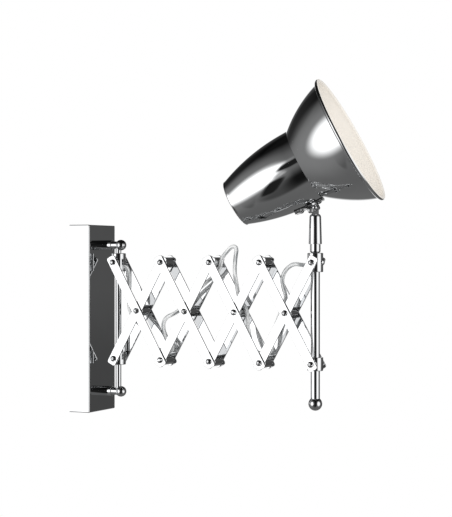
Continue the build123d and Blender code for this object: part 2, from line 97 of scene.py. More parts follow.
def makeAir():
    world = bpy.data.worlds.new("studioAir")
    scene.world = world
    world.use_nodes = True
    tree = world.node_tree
    tree.nodes.clear()
    path = addNode(tree, "ShaderNodeLightPath")
    seen = path.outputs["Is Camera Ray"]
    for ray in ("Is Glossy Ray", "Is Transmission Ray"):
        rays = {0: seen, 1: path.outputs[ray]}
        seen = addNode(tree, "ShaderNodeMath", links=rays, operation="ADD", use_clamp=True).outputs[0]
    strengths = {"To Min": studio["airDiffuse"], "To Max": studio["airWhite"]}
    level = addNode(tree, "ShaderNodeMapRange", strengths, {"Value": seen})
    air = addNode(tree, "ShaderNodeBackground", {"Color": (1, 1, 1, 1)}, {"Strength": level.outputs[0]})
    addNode(tree, "ShaderNodeOutputWorld", links={"Surface": air.outputs[0]})


def makeLamp(spec):
    lamp = bpy.data.lights.new(spec["name"], "AREA")
    lamp.shape = "DISK"
    lamp.size = spec["size"]
    lamp.energy = spec["watts"]
    stand = bpy.data.objects.new(spec["name"], lamp)
    stand.location = spec["place"]
    stand.rotation_euler = (Vector(studio["middle"]) - Vector(spec["place"])).to_track_quat("-Z", "Y").to_euler()
    stand.visible_glossy = False
    scene.collection.objects.link(stand)


# windows in the cloth: bearing from the camera, height and half sizes in degrees, soft edge, squareness, light
windowColumns = ("bearing", "wide", "high", "tall", "soft", "square", "light")
clothWindows = [dict(zip(windowColumns, row)) for row in (
    (-72, 44, -6, 46, 1.0, 2.0, 0.24),  # the softbox's glow
    (-59, 23, -2, 24, 0.9, 2.0, 1.8),  # softbox, worn edge
    (-50, 15, 1, 20, 0.5, 4.0, 1.7),  # its sharp side
    (-29, 7.5, -27, 15, 0.35, 4.0, 0.015),  # black flag
    (-30, 8, 11, 7, 0.5, 3.0, 0.015),  # its clamp
    (-30, 4, -4, 4, 0.8, 2.0, 0.5),  # light between them
    (58, 26, -2, 30, 0.7, 2.0, 1.25),  # smaller box
    (-178, 14, 0, 26, 0.5, 2.5, 1.15),  # backdrop
)]
darkColumns = ("bearing", "wide", "high", "tall", "keep")
clothDarks = [dict(zip(darkColumns, row)) for row in (
    (-48, 7, -40, 20, 0.5),  # under the softbox
    (-14, 26, -40, 20, 0.45),  # low, left of the camera
    (4, 24, 0, 50, 0.12),  # behind the camera
    (128, 28, 4, 50, 0.69),  # mirrored in the plate's front
    (128, 28, -16, 12, 0.67),  # mirrored in its lower end
    (-130, 24, 27, 22, 0.3),  # high on the far left
)]
darkEdge = {"soft": 0.5, "square": 2.0}
clothHeights = [  # height in degrees and the cloth's shade there
    (-90, 0.13), (-45, 0.15), (-10, 0.15), (15, 0.1), (34, 0.055), (46, 0.007), (90, 0.007),
]


def softStep(value):
    value = min(max(value, 0.0), 1.0)
    return value * value * (3 - 2 * value)


def spotCover(spot, bearing, high, soft, square):
    away = abs((bearing - spot["bearing"] + 180) % 360 - 180) / spot["wide"]
    above = abs(high - spot["high"]) / spot["tall"]
    reach = (away ** square + above ** square) ** (1 / square)
    return softStep((1 + soft / 2 - reach) / soft)


def clothShade(bearing, high):
    for (h1, s1), (h2, s2) in zip(clothHeights, clothHeights[1:]):
        if h1 <= high <= h2:
            shade = s1 + (s2 - s1) * (high - h1) / (h2 - h1)
    for dark in clothDarks:
        shade *= 1 - (1 - dark["keep"]) * spotCover(dark, bearing, high, **darkEdge)
    for window in clothWindows:
        shade += (window["light"] - shade) * spotCover(window, bearing, high, window["soft"], window["square"])
    return shade


def makeCloth():
    # seen by mirror rays only
    segments = studio["clothSegments"]
    bm = bmesh.new()
    bmesh.ops.create_uvsphere(bm, u_segments=segments, v_segments=segments // 2, radius=studio["clothRadius"])
    bmesh.ops.reverse_faces(bm, faces=bm.faces)
    mesh = bpy.data.meshes.new("studioFlags")
    bm.to_mesh(mesh)
    bm.free()
    toCamera = -Vector(cameraView["looks"])
    toRight = Vector((0, 0, 1)).cross(toCamera)
    shade = mesh.attributes.new("shade", "FLOAT", "POINT")
    for i, vertex in enumerate(mesh.vertices):
        way = vertex.co.normalized()
        bearing = math.degrees(math.atan2(way.dot(toRight), way.dot(toCamera)))
        high = math.degrees(math.asin(max(-1, min(1, way.z))))
        shade.data[i].value = clothShade(bearing, high)
    mesh.transform(Matrix.Translation(studio["middle"]))
    cloth = bpy.data.materials.new("grey flag cloth")
    cloth.use_nodes = True
    tree = cloth.node_tree
    tree.nodes.clear()
    shadeIn = addNode(tree, "ShaderNodeAttribute", attribute_name="shade")
    glow = addNode(tree, "ShaderNodeEmission", links={"Color": shadeIn.outputs["Color"]})
    addNode(tree, "ShaderNodeOutputMaterial", links={"Surface": glow.outputs[0]})
    cloth.cycles.emission_sampling = "NONE"
    mesh.materials.append(cloth)
    flags = bpy.data.objects.new("studioFlags", mesh)
    scene.collection.objects.link(flags)
    flags.visible_camera = flags.visible_diffuse = flags.visible_shadow = flags.visible_transmission = False


def makeFloor():
    half, (x, y), z = studio["floorHalf"], studio["middle"][:2], studio["floorHeight"]
    mesh = bpy.data.meshes.new("studioFloor")
    corners = [(x + a * half, y + b * half, z) for a, b in ((-1, -1), (1, -1), (1, 1), (-1, 1))]
    mesh.from_pydata(corners, [], [(0, 1, 2, 3)])
    paper = bpy.data.materials.new("pale floor paper")
    paper.use_nodes = True
    tree = paper.node_tree
    shader = tree.nodes["Principled BSDF"]
    shader.inputs["Base Color"].default_value = linearColour(studio["floorColour"])
    shader.inputs["Roughness"].default_value = studio["floorRough"]
    place = addNode(tree, "ShaderNodeTexCoord").outputs["Object"]
    away = addNode(tree, "ShaderNodeVectorMath", {1: (x, y, z)}, {0: place}, operation="DISTANCE").outputs["Value"]
    ends = {"From Min": studio["floorFade"] * half, "From Max": half}
    fade = addNode(tree, "ShaderNodeMapRange", ends, {"Value": away}, interpolation_type="SMOOTHSTEP")
    clear = addNode(tree, "ShaderNodeBsdfTransparent")
    edge = addNode(tree, "ShaderNodeMixShader", links={0: fade.outputs[0], 1: shader.outputs[0], 2: clear.outputs[0]})
    tree.links.new(edge.outputs[0], tree.nodes["Material Output"].inputs["Surface"])  # ends in the white air
    mesh.materials.append(paper)
    floor = bpy.data.objects.new("studioFloor", mesh)
    scene.collection.objects.link(floor)
    floor.visible_glossy = False


makeAir()
for spec in lamps:
    makeLamp(spec)
makeCloth()
makeFloor()
print("studio ready")


def newMaterial(name, values=None):
    material = bpy.data.materials.new(name)
    material.use_nodes = True
    tree = material.node_tree
    tree.nodes.clear()
    shader = addNode(tree, "ShaderNodeBsdfPrincipled", values)
    addNode(tree, "ShaderNodeOutputMaterial", links={"Surface": shader.outputs[0]})
    return material, tree, shader


def dressShader(tree, shader, look, colourFrom, roughFrom, reliefFrom):
    # colours are the pattern's low and high ends, rough its range over spread, relief is strength and depth in mm
    tint = addNode(tree, "ShaderNodeValToRGB", links={"Fac": colourFrom})
    for stop, place, hexText in zip(tint.color_ramp.elements, look.get("stops", (0.0, 1.0)), look["colours"]):
        stop.position = place
        stop.color = linearColour(hexText)
    sockets = ("From Min", "From Max", "To Min", "To Max")
    ends = dict(zip(sockets, (*look.get("spread", (0.3, 0.7)), *look["rough"])))
    feeds = {"Base Color": tint, "Roughness": addNode(tree, "ShaderNodeMapRange", ends, {"Value": roughFrom})}
    if "relief" in look:
        strength, depth = look["relief"]
        bumps = {"Strength": strength, "Distance": depth * mm}
        feeds["Normal"] = addNode(tree, "ShaderNodeBump", bumps, {"Height": reliefFrom})
    for socket, source in feeds.items():
        tree.links.new(source.outputs[0], shader.inputs[socket])


def makeFinish(look):
    # grains are (size in mm, detail): the first gives colour and roughness, the last gives relief
    material, tree, shader = newMaterial(look["name"], {"Metallic": look.get("metal", 0.0)})
    place = addNode(tree, "ShaderNodeTexCoord").outputs["Object"]
    grains = []
    for size, detail in look["grains"]:
        noise = addNode(tree, "ShaderNodeTexNoise", {"Scale": 1 / (size * mm), "Detail": detail}, {"Vector": place})
        grains.append(noise.outputs[0])
    dressShader(tree, shader, look, grains[0], grains[look.get("roughGrain", 0)], grains[-1])
    return material


# bright chrome plate over polished steel: a mirror with a faint buffing ripple and hand-wiped haze
chrome = makeFinish({
    "name": "polished chrome plate", "metal": 1.0, "colours": ("DFE0E1", "E8E9EA"), "spread": (0.3, 0.75),
    "rough": (0.02, 0.055), "grains": [(22, 4.0), (30, 1.0)], "relief": (0.05, 0.4),
})

# chrome over a pressed strap: the press leaves soft hollows that break the mirror up
pressedChrome = makeFinish({
    "name": "chrome on pressed steel", "metal": 1.0, "colours": ("D8D9DA", "E6E7E8"),
    "rough": (0.04, 0.09), "grains": [(8, 1.0)], "relief": (0.9, 1.2),
})

# white stove enamel, sprayed inside the shade: warm white, satin, with a fine orange peel
enamel = makeFinish({
    "name": "white stove enamel", "colours": ("F1ECE4", "F4EFE8"),
    "rough": (0.36, 0.46), "grains": [(40, 3.0), (1.6, 1.0)], "relief": (0.03, 0.1),
})

# zinc-plated steel: grey with a pale blue-yellow bloom and fine grain, half matt
zinc = makeFinish({
    "name": "zinc plated steel", "metal": 1.0, "colours": ("A9AEB2", "CBC9BE"),
    "rough": (0.26, 0.42), "grains": [(9, 5.0), (0.8, 2.0)], "relief": (0.1, 0.05),
})

# rolled brass sheet: warm yellow metal, a little tarnished in patches
brass = makeFinish({
    "name": "rolled brass", "metal": 1.0, "colours": ("B98E45", "E2C27A"),
    "rough": (0.18, 0.34), "grains": [(7, 4.0)],
})

# glazed porcelain: clear, slightly wavy glaze over a speckled white body
porcelain = makeFinish({
    "name": "glazed porcelain", "colours": ("E4E0D6", "F1EFE9"), "rough": (0.08, 0.16),
    "grains": [(2.5, 6.0), (12, 1.0)], "roughGrain": 1, "relief": (0.1, 0.3),
})

# moulded nylon: off-white, satin, with faint flow marks
nylon = makeFinish({
    "name": "moulded nylon", "colours": ("DAD7CC", "E6E4DB"), "rough": (0.4, 0.55), "grains": [(10, 3.0)],
})

# clear flexible PVC, extruded: a milky gloss skin with painted grey shade streaks along it, the shade between the
# wires seen through the skin; greyer at its edges
clearSkin = {
    "name": "clear flexible PVC", "colours": ("8C9092", "F6F7F7"), "stops": (0.37, 0.57), "rough": (0.12, 0.2),
    "stretch": (0.04, 1.0, 1.0), "scale": 1.1, "detail": 2.0,  # painted shade streaks about 23 mm long and 2.6 mm wide
    "sockets": {"Transmission Weight": 0.12, "IOR": 1.53, "Coat Weight": 0.6, "Coat Roughness": 0.05},
}

# tinned copper strands in a clear skin: pale silver with the strands' twist showing
tinnedStrands = {
    "name": "tinned copper wire", "colours": ("EDEDEE", "F5F5F5"), "spread": (0.0, 1.0), "rough": (0.35, 0.45),
    "scale": 2.5, "distortion": 0.4, "relief": (0.08, 0.05),  # this scale makes strands of 0.25 mm
}


def makeClearPvc(look):
    material, tree, shader = newMaterial(look["name"], look["sockets"])
    uv = addNode(tree, "ShaderNodeUVMap", uv_map="alongWire")
    stretch = addNode(tree, "ShaderNodeMapping", {"Scale": look["stretch"]}, {"Vector": uv.outputs[0]})
    noise = {"Scale": look["scale"], "Detail": look["detail"]}
    # painted shade: dark grey streaks along the skin stand for the shade between the wires seen through it
    paintedShadeStreak = addNode(tree, "ShaderNodeTexNoise", noise, {"Vector": stretch.outputs[0]}).outputs[0]
    dressShader(tree, shader, look, paintedShadeStreak, paintedShadeStreak, paintedShadeStreak)
    return material


def makeTinnedWire(look):
    material, tree, shader = newMaterial(look["name"])
    uv = addNode(tree, "ShaderNodeUVMap", uv_map="alongWire")
    wave = {"Scale": look["scale"], "Distortion": look["distortion"]}
    twist = addNode(tree, "ShaderNodeTexWave", wave, {"Vector": uv.outputs[0]}, bands_direction="DIAGONAL").outputs[0]
    dressShader(tree, shader, look, twist, twist, twist)
    return material


clearPvc, tinnedWire = makeClearPvc(clearSkin), makeTinnedWire(tinnedStrands)
finishOf = {
    "chrome": chrome, "zinc_steel": zinc, "brass": brass, "porcelain": porcelain,
    "terminal_plastic": nylon, "clear_pvc": clearPvc,
}
for subpart in frame["record"]["subparts"]:
    node = nodes[subpart["node"]]
    pressed = subpart["node"] == "head_bracket"
    node.data.materials.clear()
    node.data.materials.append(pressedChrome if pressed else finishOf[subpart["material_slot"]])
print("materials ready:", len(bpy.data.materials))


# shapes: arcs, turned pieces, cut pieces
def arcThrough(first, middle, last, count):
    (ax, ay), (bx, by), (cx, cy) = first, middle, last
    d = 2 * (ax * (by - cy) + bx * (cy - ay) + cx * (ay - by))
    a2, b2, c2 = ax * ax + ay * ay, bx * bx + by * by, cx * cx + cy * cy
    ux = (a2 * (by - cy) + b2 * (cy - ay) + c2 * (ay - by)) / d
    uy = (a2 * (cx - bx) + b2 * (ax - cx) + c2 * (bx - ax)) / d
    radius = math.hypot(ax - ux, ay - uy)
    start, stop = (math.atan2(y - uy, x - ux) for x, y in (first, last))
    sweep = (stop - start + math.pi) % fullTurn - math.pi
    turns = [start + sweep * i / count for i in range(count + 1)]
    return [(ux + radius * math.cos(t), uy + radius * math.sin(t)) for t in turns]


def arcRound(middle, radius, start, stop, count):
    turns = [math.radians(start + (stop - start) * i / count) for i in range(count + 1)]
    return [(middle[0] + radius * math.cos(t), middle[1] + radius * math.sin(t)) for t in turns]


def smoothMesh(mesh, sharp):
    mesh.polygons.foreach_set("use_smooth", [True] * len(mesh.polygons))
    mesh.set_sharp_from_angle(angle=math.radians(sharp))


def addPiece(name, bm, material, sharp=30):
    bmesh.ops.remove_doubles(bm, verts=bm.verts, dist=1e-8)
    bmesh.ops.recalc_face_normals(bm, faces=bm.faces)
    mesh = bpy.data.meshes.new(name)
    bm.to_mesh(mesh)
    bm.free()
    mesh.materials.append(material)
    smoothMesh(mesh, sharp)
    piece = bpy.data.objects.new(name, mesh)
    scene.collection.objects.link(piece)
    return piece


def settle(piece):
    # the modifiers' result becomes the piece's plain mesh
    bpy.context.view_layer.update()
    done = bpy.data.meshes.new_from_object(piece.evaluated_get(bpy.context.evaluated_depsgraph_get()))
    piece.modifiers.clear()
    piece.data = done
    done.name = piece.name
    return done


def joinRings(bm, a, b):
    # a band of faces from ring to ring, where a ring of one point is a pole
    faces = []
    for k in range(max(len(a), len(b))):
        corners = [a[k % len(a)], a[(k + 1) % len(a)], b[(k + 1) % len(b)], b[k % len(b)]]
        corners = list(dict.fromkeys(corners))
        if len(corners) > 2:
            faces.append(bm.faces.new(corners))
    return faces


def turnedForm(bm, profile, place, axis, steps, closed=False):
    # profile points are (along the axis, radius); a closed profile makes a ring
    stand = Matrix.Translation(Vector(place) * mm) @ Vector(axis).to_track_quat("Z", "Y").to_matrix().to_4x4()
    turns = [fullTurn * k / steps for k in range(steps)]
    rings = []
    for along, radius in profile:
        if radius < 1e-6:
            spots = [Vector((0, 0, along * mm))]
        else:
            spots = [Vector((radius * mm * math.cos(t), radius * mm * math.sin(t), along * mm)) for t in turns]
        rings.append([bm.verts.new(stand @ spot) for spot in spots])
    for a, b in list(zip(rings, rings[1:])) + ([(rings[-1], rings[0])] if closed else []):
        joinRings(bm, a, b)


def turnedPiece(name, profile, material, place=(0, 0, 0), axis=(0, 0, 1), steps=128, closed=False, sharp=30):
    bm = bmesh.new()
    turnedForm(bm, profile, place, axis, steps, closed)
    return addPiece(name, bm, material, sharp)


def cutWith(piece, other, how="DIFFERENCE", sharp=30):
    tool = piece.modifiers.new(how.lower(), "BOOLEAN")
    tool.operation = how
    tool.solver = "EXACT"
    tool.object = other
    smoothMesh(settle(piece), sharp)
    bpy.data.objects.remove(other)


def drill(piece, place, axis, radius, reach):
    bm = bmesh.new()
    turnedForm(bm, [(0, 0), (0, radius), (reach, radius), (reach, 0)], place, axis, 48)
    cutWith(piece, addPiece("drillBit", bm, piece.data.materials[0]))


def fit(piece, body, slot, *replaced):
    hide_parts(*replaced)
    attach(piece, body)
    return piece


# scissor arm, as the solids have it
arm = {
    "rodX": 56.0, "step": 72.0, "crossings": 4, "topZ": 76.5, "length": 149.5, "overhang": 8.6, "width": 12.5,
    "sheet": 2.0, "corner": 2.8, "hole": 2.08, "edge": 0.3, "innerFace": 12.8, "outerFace": 15.0, "collarPlay": 0.2,
}
barrelForm = {"radius": 7.5, "half": 12.6, "edge": 0.35, "play": 0.03}
pivotScrewForm = {"head": 4.0, "height": 2.6, "shank": 2.0, "grip": 8.0, "slot": 0.9}
setScrewForm = {**pivotScrewForm, "grip": 4.2}
restAngle = math.asin(arm["step"] / arm["length"])
midZ = arm["topZ"] - arm["length"] / 2 * math.cos(restAngle)
lowZ = arm["topZ"] - arm["length"] * math.cos(restAngle)
poleX = arm["rodX"] + arm["step"] * arm["crossings"]
near, far, out, up = (0, -1, 0), (0, 1, 0), (1, 0, 0), (0, 0, 1)


def linkPattern():
    # a flat bar punched for three pivots, its edges broken all round
    halfLong, halfWide, corner = arm["length"] / 2 + arm["overhang"], arm["width"] / 2, arm["corner"]
    half, edge, punch = arm["sheet"] / 2, arm["edge"], 2 * arm["sheet"]
    outline = []
    for sx, sy, start in ((1, 1, 0), (-1, 1, 90), (-1, -1, 180), (1, -1, 270)):
        outline += arcRound((sx * (halfLong - corner), sy * (halfWide - corner)), corner, start, start + 90, 6)
    bm = bmesh.new()
    rings = []
    for z, inset in ((-half, edge), (-half + edge, 0), (half - edge, 0), (half, edge)):
        spots = [(x - math.copysign(inset, x), y - math.copysign(inset, y)) for x, y in outline]
        rings.append([bm.verts.new((x * mm, y * mm, z * mm)) for x, y in spots])
    for a, b in zip(rings, rings[1:]):
        joinRings(bm, a, b)
    bm.faces.new(rings[0])
    bm.faces.new(rings[-1])
    bar = addPiece("linkPattern", bm, chrome, sharp=20)
    holes = bmesh.new()
    cut = [(-punch, 0), (-punch, arm["hole"]), (punch, arm["hole"]), (punch, 0)]
    for place in (-arm["length"] / 2, 0, arm["length"] / 2):
        turnedForm(holes, cut, (place, 0, 0), up, 40)
    cutWith(bar, addPiece("linkHoles", holes, chrome), sharp=20)
    return bar


def screwPattern(name, form, material):
    # head on the seat, +Z out of it: a low rim, a round crown and a milled slot
    wide, height, shank, grip = form["head"], form["height"], form["shank"], form["grip"]
    rim, depth, tip, seatEdge = 0.35 * height, 0.6 * height, 0.3, 0.1
    rise = height - rim
    crown = (rise ** 2 + wide ** 2) / (2 * rise)
    profile = [(-grip, 0), (-grip, shank - tip), (-grip + tip, shank), (0, shank)]
    profile += [(0, wide - seatEdge), (seatEdge * rim, wide)]
    profile += arcRound((height - crown, 0), crown, math.degrees(math.asin(wide / crown)), 0, 12)
    screw = turnedPiece(name, profile, material, steps=48, sharp=40)
    bm = bmesh.new()
    bmesh.ops.create_cube(bm, size=1.0)
    bmesh.ops.scale(bm, vec=(wide * 2.4 * mm, form["slot"] * mm, 2 * depth * mm), verts=bm.verts)
    bmesh.ops.translate(bm, vec=(0, 0, height * mm), verts=bm.verts)
    cutWith(screw, addPiece("screwSlot", bm, material), sharp=40)
    return screw


def barrelPattern():
    r, half, edge = barrelForm["radius"], barrelForm["half"], barrelForm["edge"]
    bore = pivotScrewForm["shank"] + barrelForm["play"]
    profile = [(-half, bore), (-half, r - edge), (-half + edge, r), (half - edge, r), (half, r - edge), (half, bore)]
    return turnedPiece("barrelPattern", profile, chrome, steps=64, closed=True)


# one tree sets any pattern on a handful of points: facing is its Z, heading its X, and a seeded turn
def makeRepeatTree():
    tree = bpy.data.node_groups.new("setOnPivots", "GeometryNodeTree")
    named = {"Geometry": "Geometry", "Pattern": "Object", "Finish": "Material", "Turn": "Float", "Seed": "Int"}
    for name, kind in named.items():
        tree.interface.new_socket(name, in_out="INPUT", socket_type="NodeSocket" + kind)
    tree.interface.new_socket("Geometry", in_out="OUTPUT", socket_type="NodeSocketGeometry")
    given = addNode(tree, "NodeGroupInput").outputs
    facing, heading = (
        addNode(tree, "GeometryNodeInputNamedAttribute", {"Name": name}, data_type="FLOAT_VECTOR").outputs[0]
        for name in ("facing", "heading")
    )
    stand = addNode(tree, "FunctionNodeAlignRotationToVector", links={"Vector": facing}, axis="Z")
    ways = {"Rotation": stand.outputs[0], "Vector": heading}
    point = addNode(tree, "FunctionNodeAlignRotationToVector", links=ways, axis="X", pivot_axis="Z")
    limits = {"Max": given["Turn"], "Seed": given["Seed"]}
    chance = addNode(tree, "FunctionNodeRandomValue", {"Min": 0.0}, limits, data_type="FLOAT")
    angle = next(socket for socket in chance.outputs if socket.enabled)
    spin = addNode(tree, "FunctionNodeAxisAngleToRotation", {"Axis": up}, {"Angle": angle})
    turns = {"Rotation": point.outputs[0], "Rotate By": spin.outputs[0]}
    turned = addNode(tree, "FunctionNodeRotateRotation", links=turns, rotation_space="LOCAL")
    pattern = addNode(tree, "GeometryNodeObjectInfo", links={"Object": given["Pattern"]})
    parts = {"Points": given["Geometry"], "Instance": pattern.outputs["Geometry"], "Rotation": turned.outputs[0]}
    placed = addNode(tree, "GeometryNodeInstanceOnPoints", links=parts)
    real = addNode(tree, "GeometryNodeRealizeInstances", links={"Geometry": placed.outputs[0]})
    paint = {"Geometry": real.outputs[0], "Material": given["Finish"]}
    painted = addNode(tree, "GeometryNodeSetMaterial", links=paint)
    addNode(tree, "NodeGroupOutput", links={"Geometry": painted.outputs[0]})
    return tree


repeatTree = makeRepeatTree()


def setOnPivots(name, pattern, places, material, turn=0.0, seed=1):
    # places are (point in mm, facing, heading)
    mesh = bpy.data.meshes.new(name)
    mesh.from_pydata([Vector(place[0]) * mm for place in places], [], [])
    for label, column in (("facing", 1), ("heading", 2)):
        values = mesh.attributes.new(label, "FLOAT_VECTOR", "POINT")
        for i, place in enumerate(places):
            values.data[i].vector = place[column]
    piece = bpy.data.objects.new(name, mesh)
    scene.collection.objects.link(piece)
    modifier = piece.modifiers.new("setOnPivots", "NODES")
    modifier.node_group = repeatTree
    wanted = {"Pattern": pattern, "Finish": material, "Turn": turn, "Seed": seed}
    for socket in repeatTree.interface.items_tree:
        if socket.in_out == "INPUT" and socket.name in wanted:
            modifier[socket.identifier] = wanted[socket.name]
    done = settle(piece)
    for extra in ("facing", "heading"):
        if extra in done.attributes:
            done.attributes.remove(done.attributes[extra])
    return piece


def setScrews(name, pattern, places, material, seed):
    return setOnPivots(name, pattern, places, material, turn=math.pi, seed=seed)  # each slot stops where it may


def removePatterns(*patterns):
    for pattern in patterns:
        bpy.data.objects.remove(pattern)


def pivotX(number):
    return arm["rodX"] + number * arm["step"]


def screwPlaces(pivots, seat):
    return [((x, side * seat, z), (0, side, 0), out) for x, z in pivots for side in (-1, 1)]


link, barrel = linkPattern(), barrelPattern()
pivotScrew = screwPattern("pivotScrewPattern", pivotScrewForm, chrome)
outerSeat = arm["outerFace"] + arm["sheet"]
innerSeat = arm["innerFace"] + arm["sheet"]
for number in range(1, arm["crossings"] + 1):
    wallEnd, roomEnd = pivotX(number - 1), pivotX(number)
    middleX = (wallEnd + roomEnd) / 2
    for kind, face, way in (("down", arm["outerFace"], -1), ("up", arm["innerFace"], 1)):
        heading = (way * arm["step"], 0, arm["topZ"] - lowZ)
        y = face + arm["sheet"] / 2
        places = [((middleX, -y, midZ), near, heading), ((middleX, y, midZ), far, heading)]
        bars = setOnPivots(f"{kind}Bars{number}", link, places, chrome)
        fit(bars, f"{kind}_{number}", "chrome", f"{kind}_link_{number}_near", f"{kind}_link_{number}_far")
    pivots = [(middleX, midZ)]
    pivots += [(wallEnd, arm["topZ"])] if number > 1 else []
    pivots += [(roomEnd, lowZ)] if number < arm["crossings"] else []
    barrels = setOnPivots(f"barrels{number}", barrel, [((x, 0, z), far, out) for x, z in pivots], chrome)
    fit(barrels, f"down_{number}", "chrome", f"spacers_{number}")
    screws = setScrews(f"armScrews{number}", pivotScrew, screwPlaces(pivots, outerSeat), chrome, number)
    fit(screws, f"down_{number}", "chrome", f"pivot_screws_{number}")

# collars on the rod and the pole: turned, edges rounded, a tapped boss on each side
collar = {
    "radius": 10.25, "edge": 0.9, "boss": 5.2, "bossEdge": 0.3, "tapped": 2.03, "cordHole": 2.8,
    "reach": 20.0, "tapFrom": 0.9, "cordFrom": 0.8, "setScrewZ": arm["topZ"] + 0.5,  # drills start inside the bore
}
collars = [
    {"name": "upperWallCollar", "body": "wall_swing", "node": "upper_wall_collar", "x": arm["rodX"], "z": arm["topZ"],
     "height": 24.8, "bore": 4.03, "reach": 14.8, "cord": (1, 70.0)},
    {"name": "lowerWallCollar", "body": "wall_slide", "node": "lower_wall_collar", "x": arm["rodX"], "z": lowZ,
     "height": 17.6, "bore": 4.08, "reach": 12.6},
    {"name": "upperPoleCollar", "body": "pole", "node": "upper_pole_collar", "x": poleX, "z": arm["topZ"],
     "height": 24.8, "bore": 6.03, "reach": 12.6, "cord": (-1, 73.0), "setScrew": collar["setScrewZ"]},
    {"name": "lowerPoleCollar", "body": "pole_slide", "node": "lower_pole_collar", "x": poleX, "z": lowZ,
     "height": 17.6, "bore": 6.08, "reach": 14.8},
]
collarScrews = [  # name, seat, node they stand for, and the seed of their turns
    ("upperWallScrews", outerSeat, "upper_wall_pivots", 11), ("lowerWallScrews", innerSeat, "lower_wall_pivots", 12),
    ("upperPoleScrews", innerSeat, "upper_pole_pivots", 13), ("lowerPoleScrews", outerSeat, "lower_pole_pivots", 14),
]
for spec, (name, seat, node, seed) in zip(collars, collarScrews):
    places = screwPlaces([(spec["x"], spec["z"])], seat + arm["collarPlay"])
    fit(setScrews(name, pivotScrew, places, chrome, seed), spec["body"], "chrome", node)
setScrew = screwPattern("setScrewPattern", setScrewForm, chrome)
places = [((poleX + collar["radius"], 0, collar["setScrewZ"]), out, far)]
fit(setScrews("setScrew", setScrew, places, chrome, 21), "pole", "chrome", "pole_collar_screw")
removePatterns(link, barrel, pivotScrew, setScrew)
print("scissor arm set")


def roundedRod(half, radius, edge):
    # profile of a short rod with rounded edges
    low = arcRound((-half + edge, radius - edge), edge, 180, 90, 5)
    return [(-half, 0)] + low + [(-x, r) for x, r in reversed(low)] + [(half, 0)]


def makeCollar(spec):
    x, z, bore, reach = spec["x"], spec["z"], spec["bore"], collar["reach"]
    rod = roundedRod(spec["height"] / 2, collar["radius"], collar["edge"])
    arms = roundedRod(spec["reach"], collar["boss"], collar["bossEdge"])
    piece = turnedPiece(spec["name"], rod, chrome, (x, 0, z), steps=96)
    cutWith(piece, turnedPiece("collarBoss", arms, chrome, (x, 0, z), near, steps=64), "UNION")
    drill(piece, (x, 0, z - reach), up, bore, 2 * reach)
    for side in (-1, 1):
        drill(piece, (x, side * bore * collar["tapFrom"], z), (0, side, 0), collar["tapped"], reach)
    if "cord" in spec:
        side, height = spec["cord"]
        drill(piece, (x + side * bore * collar["cordFrom"], 0, height), (side, 0, 0), collar["cordHole"], reach)
    if "setScrew" in spec:
        drill(piece, (x + bore * collar["tapFrom"], 0, spec["setScrew"]), out, collar["tapped"], reach)
    fit(piece, spec["body"], "chrome", spec["node"])


for spec in collars:
    makeCollar(spec)

# posts: turned, with a stepped neck and a ball end that the rod turns in
post = {
    "z": 100.0, "root": 31.0, "radius": 6.75, "step": 46.6, "neck": 5.1, "ballX": 60.0, "ball": 7.4, "edge": 0.4,
    "stud": 3.0, "studEnd": 21.8, "socket": 4.08, "rodTop": 97.7, "rodFoot": -101.2, "wire": 2.0,
    "below": 80.0, "wireZ": 90.0, "wireX": 10.0, "through": 30.0,  # where the drills start and how far one goes
}


def postProfile():
    edge, step, neck, ball, stud = post["edge"], post["step"], post["neck"], post["ball"], post["stud"]
    profile = [(post["studEnd"], 0), (post["studEnd"], stud - edge), (post["studEnd"] + edge, stud)]
    profile += [(post["root"], stud), (post["root"], post["radius"])]
    profile += arcRound((step - edge, post["radius"] - edge), edge, 90, 0, 4)
    profile += arcRound((step + edge, neck + edge), edge, 180, 270, 4)
    profile += arcRound((post["ballX"], 0), ball, 180 - math.degrees(math.asin(neck / ball)), 0, 28)
    return profile


for name, node, side in (("upperPost", "upper_post", 1), ("lowerPost", "lower_post", -1)):
    piece = turnedPiece(name, postProfile(), chrome, (0, 0, side * post["z"]), out, steps=96)
    if side > 0:
        drill(piece, (arm["rodX"], 0, post["below"]), up, post["socket"], post["rodTop"] - post["below"])
        drill(piece, (arm["rodX"], 0, post["wireZ"]), up, post["wire"], post["z"] - post["wireZ"])
        drill(piece, (post["wireX"], 0, post["z"]), out, post["wire"], arm["rodX"] - post["wireX"])
    else:
        drill(piece, (arm["rodX"], 0, post["rodFoot"]), up, post["socket"], post["through"])
    fit(piece, "wall_unit", "chrome", node)

# screws that hold the cover on the bracket, through its two ends
coverScrewForm = {"head": 3.0, "height": 0.8, "shank": 1.5, "grip": 4.2, "slot": 0.7, "x": 8.0, "z": 127.5}
coverScrew = screwPattern("coverScrewPattern", coverScrewForm, zinc)
places = [((coverScrewForm["x"], 0, side * coverScrewForm["z"]), (0, 0, side), out) for side in (1, -1)]
fit(setScrews("coverScrews", coverScrew, places, zinc, 31), "wall_unit", "zinc_steel", "cover_screws")
removePatterns(coverScrew)
print("collars, posts and cover screws turned")


